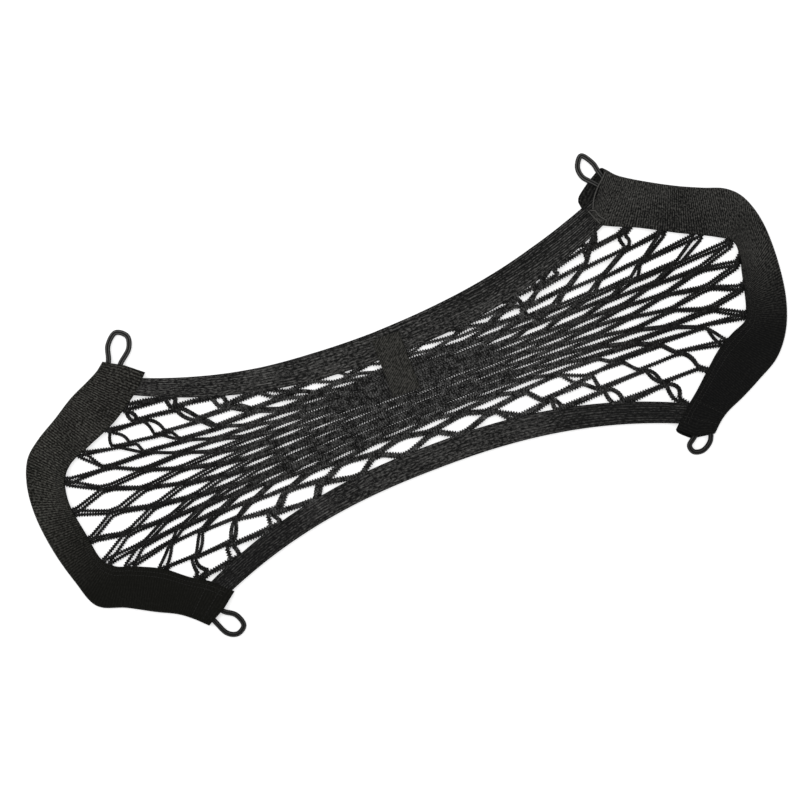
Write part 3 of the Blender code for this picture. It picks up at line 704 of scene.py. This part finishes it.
# ==== finishes
class Finish(Nodes):
    """A material under construction; constant values are set on the shader itself."""

    def __init__(self, name, **constants):
        self.material = bpy.data.materials.new(name)
        self.material.use_nodes = True
        super().__init__(self.material.node_tree)
        self.shader = self.tree.nodes["Principled BSDF"]
        for socket, value in constants.items():
            self.shader.inputs[socket.replace("_", " ")].default_value = value

    def attributes(self, *names):
        return [self.add("ShaderNodeAttribute", {"attribute_name": name}, output="Fac") for name in names]

    def place(self):
        return self.add("ShaderNodeTexCoord", output="Object")

    def noise(self, vector, scale, detail=2.0, roughness=0.5):
        return self.add("ShaderNodeTexNoise", None, {"Vector": vector, "Scale": scale, "Detail": detail,
                                                     "Roughness": roughness})

    def patches(self, scale, detail=2.0, roughness=0.5):
        """Cloudy unevenness over the piece."""
        return self.noise(self.place(), scale, detail, roughness)

    def grain(self, along, across, long, wide, seed=0.0):
        """Fibre grain about zero, long and wide in metres."""
        fine = self.noise(self.joined(along * (1.0 / long), across * (1.0 / wide), seed), 1.0, 2.0, 0.65)
        return (fine - 0.5) * 2.6

    def mix(self, share, low, high):
        return self.add("ShaderNodeMix", {"data_type": "RGBA"},
                        {0: share, 6: (*low, 1.0), 7: (*high, 1.0)}, output=2)

    def done(self, colour, roughness, height=None, distance=0.0):
        """The material, with its colour, its roughness and, if it has one, a bump of that height."""
        inputs = {"Base Color": colour, "Roughness": roughness}
        if height is not None:
            inputs["Normal"] = self.add("ShaderNodeBump", None, {"Height": height, "Distance": distance,
                                                                 "Strength": 1.0})
        for socket, term in inputs.items():
            feed(self.tree, self.shader.inputs[socket], term)
        return self.material


WOVEN = {"Sheen_Weight": 0.04, "Sheen_Roughness": 0.5, "Sheen_Tint": (0.78, 0.76, 0.72, 1.0),
         "Specular_IOR_Level": 0.08}


def string_finish():
    """Knitted elastic string: a chain of stitches, fluffy and patchy, darker towards the ends."""
    f = Finish("knitted_string_black", Sheen_Weight=0.05, Sheen_Roughness=0.45,
               Sheen_Tint=(0.75, 0.72, 0.68, 1.0), Specular_IOR_Level=0.10)
    along, across = f.attributes("along", "across")
    chain = (along + abs(across) * 0.0006).wave(STITCH_PITCH)
    fibre = f.grain(along, across * 0.001, 0.0011, 0.0006)
    patch = f.patches(260.0, 3.0, 0.6)
    middle = 1.0 - abs(f.split(f.place())).step(0.10, 0.21)
    shade = ((chain * 0.25 + fibre * 1.20 + (patch - 0.48) * 1.8) * (0.30 + 0.70 * middle)).clamp()
    return f.done(f.mix(shade, (0.002, 0.002, 0.002), (0.140, 0.139, 0.136)),
                  0.72 + 0.2 * patch, chain * 0.7 + fibre * 0.3, 0.0003)


def elastic_finish(name, light, lined):
    """Elastic woven in ribs, with painted shade in the grooves between them, most in the ends or the upper
    right part, and painted shade along its edges and over the bottom band's ends.
    """
    f = Finish(name, **WOVEN)
    along, across, edge = f.attributes("along", "across", "edge")
    x = f.split(f.place())
    rib = abs((across * (math.pi / RIB_PITCH)).maths("COSINE"))
    # depth: how strongly painted shade darkens the grooves between the ribs
    if lined == "upper right":
        upper_right = x.step(0.02, 0.09) * across.step(-0.003, 0.002)
        depth = 0.45 + 0.55 * upper_right.maths("MAXIMUM", x.step(0.12, 0.16))
    else:
        depth = 0.45 + 0.35 * abs(x).step(0.05, 0.15)
    thread = (along + (across / RIB_PITCH + 0.5).maths("FLOOR") * THREAD_STEP).wave(THREAD_PITCH)
    speck = f.grain(along, across, 0.0030, 0.0012)
    patch = f.patches(38.0, 3.0)
    streak = f.grain(along, across, 0.030, 0.0015, 3.0)
    # painted shade over the bottom band's ends
    bottom_end_shade = abs(x).step(0.05, 0.16) * (-x.out("Y")).step(-0.02, 0.03)
    # the edge term is painted shade along the rounded edges
    shade = ((0.18 + thread * 0.05 + speck * 1.10 + (patch - 0.5) * 0.30 + streak * 0.50)
             * (1.0 - depth * (1.0 - rib) * 1.4) * (1.0 - 0.80 * edge) * (1.0 - 0.52 * bottom_end_shade)).clamp()
    return f.done(f.mix(shade, (0.004, 0.004, 0.004), light),
                  0.74 + 0.1 * speck, rib * 0.40 + thread * 0.25 + speck * 0.35, 0.0005)


def tab_finish():
    """Tab webbing in a fine slanting weave, a little lighter than the bands, with painted shade along its
    edges.
    """
    f = Finish("tab_webbing_charcoal", **WOVEN)
    along, across, edge = f.attributes("along", "across", "edge")
    twill = (along + across * 0.8).wave(TWILL_PITCH)
    speck = f.grain(along, across, 0.0022, 0.0017)
    patch = f.patches(120.0)
    # the edge term is painted shade along the tab's edges
    shade = ((0.06 + twill * 0.34 + speck * 0.75 + (patch - 0.5) * 0.30) * (1.0 - 0.6 * edge)).clamp()
    return f.done(f.mix(shade, (0.006, 0.006, 0.005), (0.088, 0.085, 0.077)),
                  0.76 + 0.1 * speck, twill * 0.5 + speck * 0.4, 0.0003)


def webbing_finish(side, dark, light):
    """Binding tape: fine ribs across it, broken up by its threads, with painted shade darkening it towards
    the bottom and on its lower leaf.
    """
    f = Finish("binding_tape_" + side, Sheen_Weight=0.03, Sheen_Roughness=0.5,
               Sheen_Tint=(0.76, 0.74, 0.68, 1.0), Specular_IOR_Level=0.06)
    along, across = f.attributes("along", "across")
    x = f.split(f.place())
    rib = (along + f.patches(60.0) * 0.0008).wave(TAPE_PITCH[side])
    speck = f.grain(along, across, 0.0011, 0.0019)
    patch = f.patches(30.0, 3.0)
    low = TAPE_LOW_LIGHT[side]
    # painted shade: the tape darkens towards the bottom, as if lit from above
    painted_shade_level = low + (1.0 - low) * x.out("Y").step(-0.06, 0.03)
    # painted shade on the lower leaf and the lower side of the fold, under the upper leaf
    painted_shade_level = painted_shade_level * (0.45 + 0.55 * x.out("Z").step(0.0015, 0.0035))
    shade = ((rib * 0.36 + speck * 0.80 + (patch - 0.5) * 0.45 - 0.03) * painted_shade_level).clamp()
    return f.done(f.mix(shade, dark, light), 0.78 + 0.1 * speck, rib * 0.5 + speck * 0.3, 0.0004)


def cord_finish():
    """Braided cord with two painted highlight lines along it, painted shade on its sides, and painted shade
    darkening the lower loops.
    """
    f = Finish("braided_cord_black", Sheen_Weight=0.04, Sheen_Roughness=0.35,
               Sheen_Tint=(0.8, 0.8, 0.78, 1.0), Specular_IOR_Level=0.12)
    along, across, upward = f.attributes("along", "across", "upward")
    angle = upward.maths("ARCTAN2", across) / (2 * math.pi)
    turns = along / BRAID_TURN
    left, right = (angle + turns) * BRAID_STRANDS, (angle - turns) * BRAID_STRANDS
    braid = left.wave(1.0).maths("MAXIMUM", right.wave(1.0))
    speck = f.noise(f.joined(along * 1500.0, angle * 14.0), 1.0)
    # two painted highlight lines along the cord
    highlight_lines = (1.0 - abs(abs(across) - 0.45) / 0.30).clamp()
    # side: painted shade on the cord's sides
    side = abs(across).step(0.66, 0.96)
    # painted shade: the lower loops are darker, as if lit from above
    painted_light = 0.40 + 0.60 * f.split(f.place()).out("Y").step(-0.05, 0.05)
    shade = ((highlight_lines * (0.35 + 0.55 * braid) + (speck - 0.5) * 0.60 - 0.05) * (1.0 - side) * painted_light).clamp()
    return f.done(f.mix(shade, (0.002, 0.002, 0.002), (0.140, 0.138, 0.134)),
                  0.36 + 0.22 * speck, braid * 0.8 + speck * 0.2, 0.00025)


def thread_finish(name, light):
    """Twisted sewing thread."""
    f = Finish(name, Sheen_Weight=0.05, Sheen_Roughness=0.4, Specular_IOR_Level=0.15)
    twist = f.patches(2600.0)
    return f.done(f.mix(twist, (0.006, 0.006, 0.006), light), 0.6 + 0.2 * twist, twist, 0.0001)


def floor_finish():
    f = Finish("pale_floor", Specular_IOR_Level=0.1, Emission_Color=(1.0, 1.0, 1.0, 1.0),
               Emission_Strength=0.45)
    cloudy = f.patches(6.0)
    return f.done(f.mix(cloudy, (0.80, 0.80, 0.80), (0.82, 0.82, 0.82)), 0.85 + 0.1 * cloudy)


# ==== pieces
def settle(piece, slot, *nodes):
    """A finished piece rides on the net's one body and stands for its solids."""
    for polygon in piece.data.polygons:
        polygon.use_smooth = True
    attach(piece, "root")
    if nodes:
        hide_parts(*nodes)
    return piece


def build_strings(recipe, finish):
    made = {}
    for net in ("front", "back"):
        paths = string_paths(net)
        for part, picked in (("lower", paths[:ROWS // 2]), ("upper", paths[ROWS // 2:])):
            spots = [raised(fine[:, :2], NET_Z[net]) for fine in picked]
            mesh = path_mesh("strings", spots, along=[lengths_along(path) for path in spots],
                             taut=[1.0 - 0.75 * np.clip(fine[:, 2], 0.0, 1.0) for fine in picked],
                             girth=[swelling(path[:, 0], path[:, 1]) for path in spots])
            piece = recipe.made("net_" + net + "_" + part, mesh, Material=finish, Width=STRING_WIDTH,
                                Thickness=STRING_THICKNESS, Pitch=STITCH_PITCH, Tooth=STRING_TOOTH)
            made[net, part] = settle(piece, "elastic_string", "net_" + net)
    return made


def build_bands(recipe, finish):
    made = {}
    for edge in ("top", "bottom"):
        x = np.linspace(*BAND_ENDS[edge], 400)
        widest = BAND_WIDTH[edge][0]
        for net in ("back", "front"):
            line = np.column_stack([x, band_centre(edge, net, x)])
            path = even_steps(raised(line, NET_Z[net]), BAND_STEP)
            mesh = path_mesh("band", [path], along=[lengths_along(path)],
                             girth=[band_half_width(edge, path[:, 0]) / widest])
            band = recipe.made("elastic_" + edge + "_" + net, mesh, Material=finish[edge],
                               Width=2 * widest, Thickness=LAYER, Pitch=RIB_PITCH, Depth=RIB_DEPTH)
            made[edge, net] = settle(band, "ribbed_elastic",
                                     "top_band_" + net if edge == "top" else "bottom_band")
    return made


def folded_leaf(side):
    """Middle surface of a folded binding, its distance along and across, station by station."""
    outer, inner = binding_edges(side, np.linspace(0.0, 1.0, STATIONS))
    low_z, high_z = WEBBING / 2, STACK - WEBBING / 2
    bend = (high_z - low_z) / 2
    middle = (outer + inner) / 2
    along = np.gradient(middle, axis=0)
    along /= np.linalg.norm(along, axis=1)[:, None]
    travelled = lengths_along(middle)
    angles = np.linspace(math.pi / 2, -math.pi / 2, FOLD_POINTS + 2)[1:-1]
    spots, facts = [], []
    for way, out, into, gone in zip(along, outer, inner, travelled):
        across = out - into
        width = np.linalg.norm(across)
        across = across / width
        flat = width - bend - WEBBING / 2
        leaf = np.linspace(0.0, flat, LEAF_POINTS)
        section = ([(reach, high_z) for reach in leaf]
                   + [(flat + bend * math.cos(a), low_z + bend + bend * math.sin(a)) for a in angles]
                   + [(reach, low_z) for reach in leaf[::-1]])
        at_top = max(0.0, 1.0 - gone / END_ZONE)
        at_bottom = max(0.0, 1.0 - (travelled[-1] - gone) / END_ZONE)
        slip = -way * LEAF_SLIPS[side][0] * at_top + way * LEAF_SLIPS[side][1] * at_bottom
        girth = 0.0
        for spot, (reach, z) in enumerate(section):
            low, share = (high_z - z) / (high_z - low_z), reach / width
            from_corner = 1.0 - min(reach / CORNER_ROUND, 1.0)
            round_off = (0.25 + 0.75 * math.sqrt(1.0 - from_corner ** 2)) * (1.0 - 0.6 * share ** 2)
            cut = way * LEAF_CUT[side] * at_top * (1.0 - share) * (1.0 - low)
            top_end, bottom_end = (np.interp(share, (0.0, 0.5, 1.0), ends) for ends in END_REACH[side])
            cut += way * (bottom_end * at_bottom - top_end * at_top)
            spots.append((*(into + across * reach + slip * low * round_off + cut), z))
            if spot:
                girth += math.dist(section[spot], section[spot - 1])
            facts.append((gone, girth))
    return np.array(spots), np.array(facts).T


def build_bindings(finish):
    made = {}
    wide = 2 * LEAF_POINTS + FOLD_POINTS
    corners = [s * wide + w for s in range(STATIONS - 1) for w in range(wide - 1)]
    faces = [(a, a + 1, a + wide + 1, a + wide) for a in corners]
    for side in ("left", "right"):
        spots, (along, across) = folded_leaf(side)
        ripple = (np.sin(along * 900.0 + 3.0 * np.sin(along * 130.0))
                  * np.exp(-((across - 0.0035) / 0.0022) ** 2)) * RIPPLE
        swell = SWELL * np.sin(along * 160.0 + 40.0 * across)
        top = spots[:, 2] > STACK / 2
        spots[top, 2] += (ripple + swell)[top]
        mesh = bpy.data.meshes.new("end_binding_" + side)
        mesh.from_pydata(spots.tolist(), [], faces)
        set_fact(mesh, "along", along)
        set_fact(mesh, "across", across)
        mesh.materials.append(finish[side])
        binding = placed("binding_" + side, mesh)
        wall = binding.modifiers.new("webbing", "SOLIDIFY")
        wall.thickness = WEBBING
        wall.offset = 0.0
        made[side] = settle(plain(binding), "end_webbing", "end_binding_" + side)
    return made


def build_loops(recipe, finish):
    stations = np.linspace(0.0, 1.0, 120)
    share = rising(np.minimum(stations, 1 - stations), DROP_FROM, DROP_TO - DROP_FROM)
    height = STACK / 2 - (STACK - CORD_WIDTH) / 2 * share * share * (3 - 2 * share)
    for corner, points in LOOPS.items():
        path = np.column_stack([smooth_through(points, stations), height])
        mesh = path_mesh("loop", [path], along=[lengths_along(path)])
        piece = recipe.made("cord_loop_" + corner, mesh, Material=finish, Diameter=CORD_WIDTH)
        settle(piece, "loop_cord", "corner_loop_" + corner)


def build_tab(recipe, finish):
    line = np.array([[(TAB_LEFT + TAB_RIGHT) / 2, y, TOP_LEAF_Z + TAB_THICKNESS / 2]
                     for y in np.linspace(TAB_TOP, TAB_BOTTOM, 60)])
    mesh = path_mesh("tab", [line], along=[lengths_along(line)], girth=[np.ones(len(line))])
    piece = recipe.made("webbing_tab", mesh, Material=finish, Width=TAB_RIGHT - TAB_LEFT,
                        Thickness=TAB_THICKNESS, Pitch=TAB_RIB_PITCH, Depth=TAB_RIB_DEPTH)
    return settle(piece, "tab_webbing", "centre_tab")


def on_leaf(side, share, stations):
    """A path over a binding's upper leaf, at a share of its width in from the open edge."""
    outer, inner = binding_edges(side, stations)
    return raised(inner + (outer - inner) * share, STACK + SEWN_ABOVE)


def build_stitching(recipe, finish, painted_light):
    """Two seams along each binding's open edge, two across each end, and the edge sewn over top right."""
    made = {}
    for side in ("left", "right"):
        rows = [on_leaf(side, share, np.linspace(0.01, 0.99, SEAM_POINTS)) for share in (0.10, 0.20)]
        rows += [on_leaf(side, np.linspace(0.06, 0.88, 30)[:, None], np.array([station]))
                 for station in (0.018, 0.045, 0.955, 0.982)]
        seam = recipe.made("stitches_" + side, path_mesh("stitch_rows", rows), Material=finish, **SEAM)
        made[side] = settle(seam, "end_webbing")
    ridges = [raised(smooth_through(points, np.linspace(0.0, 1.0, 60)), STACK) for points in SEWN_OVER]
    # the overlock thread's light colour is painted highlight along these sewn-over ridges
    over = recipe.made("sewn_over_right", path_mesh("ridges", ridges), Material=painted_light, **OVERLOCK)
    settle(over, "end_webbing")
    return made


def declare_cloth(nets, bands):
    """Looks up the band that goes with each half of each net; nothing is done with it."""
    for (net, part), piece in nets.items():
        bands["top" if part == "upper" else "bottom", net]


# ==== floor, light, camera
FLOOR_REACH, FLOOR_DROP = 4.0, 0.0002
# LAMPS: name, place, side, power
LAMPS = (("overhead", (-0.35, 0.55, 1.6), 1.6, 18.0), ("side", (1.1, -0.5, 1.2), 1.2, 5.0))
VIEW_CENTRE, VIEW_WIDTH, VIEW_TURN, VIEW_DISTANCE = (-0.0082, -0.0012), 0.616, math.radians(20.8), 1.9
SENSOR = 36.0


def build_studio():
    mesh = bpy.data.meshes.new("floor")
    mesh.from_pydata([(x * FLOOR_REACH, y * FLOOR_REACH, -FLOOR_DROP)
                      for x, y in ((-1, -1), (1, -1), (1, 1), (-1, 1))], [], [(0, 1, 2, 3)])
    mesh.materials.append(floor_finish())
    placed("floor", mesh)
    for name, place, size, power in LAMPS:
        lamp = bpy.data.lights.new(name, "AREA")
        lamp.shape, lamp.size, lamp.energy = "SQUARE", size, power
        light = placed(name, lamp)
        light.location = place
        toward = -np.array(place) / np.linalg.norm(place)
        light.rotation_euler = (math.acos(-toward[2]), 0.0, math.atan2(toward[1], toward[0]) - math.pi / 2)
    world = bpy.data.worlds.new("studio")
    world.use_nodes = True
    background = world.node_tree.nodes["Background"].inputs
    background["Color"].default_value = (1.0, 1.0, 1.0, 1.0)
    background["Strength"].default_value = 0.50
    bpy.context.scene.world = world
    bpy.context.scene.view_settings.view_transform = "Standard"


def build_camera():
    lens = bpy.data.cameras.new("camera")
    lens.sensor_width = SENSOR
    lens.lens = SENSOR * (VIEW_DISTANCE - STACK / 2) / VIEW_WIDTH
    lens.clip_end = 20.0
    camera = placed("camera", lens)
    camera.location = (*VIEW_CENTRE, VIEW_DISTANCE)
    camera.rotation_euler = (0.0, 0.0, -VIEW_TURN)
    bpy.context.scene.camera = camera


def main():
    build_studio()
    build_camera()
    strings, webbing, cord, stitches = string_recipe(), webbing_recipe(), cord_recipe(), stitch_recipe()
    nets = build_strings(strings, string_finish())
    # the bottom band's light colour is a little darker than the top's: painted shade
    elastic = {"top": elastic_finish("ribbed_elastic_top", (0.150, 0.147, 0.141), "upper right"),
               "bottom": elastic_finish("ribbed_elastic_bottom", (0.140, 0.137, 0.132), "ends")}
    bands = build_bands(webbing, elastic)
    tape = {"left": webbing_finish("left", (0.004, 0.004, 0.003), (0.120, 0.117, 0.105)),
            "right": webbing_finish("right", (0.003, 0.003, 0.003), (0.120, 0.117, 0.108))}
    bindings = build_bindings(tape)
    build_loops(cord, cord_finish())
    tab = build_tab(webbing, tab_finish())
    # the overlock thread, much lighter than the sewing thread, is painted highlight along the sewn-over
    # ridges
    sewn = build_stitching(stitches, thread_finish("sewing_thread", (0.028, 0.027, 0.025)),
                           thread_finish("overlock_thread", (0.130, 0.127, 0.118)))
    declare_cloth(nets, bands)


main()
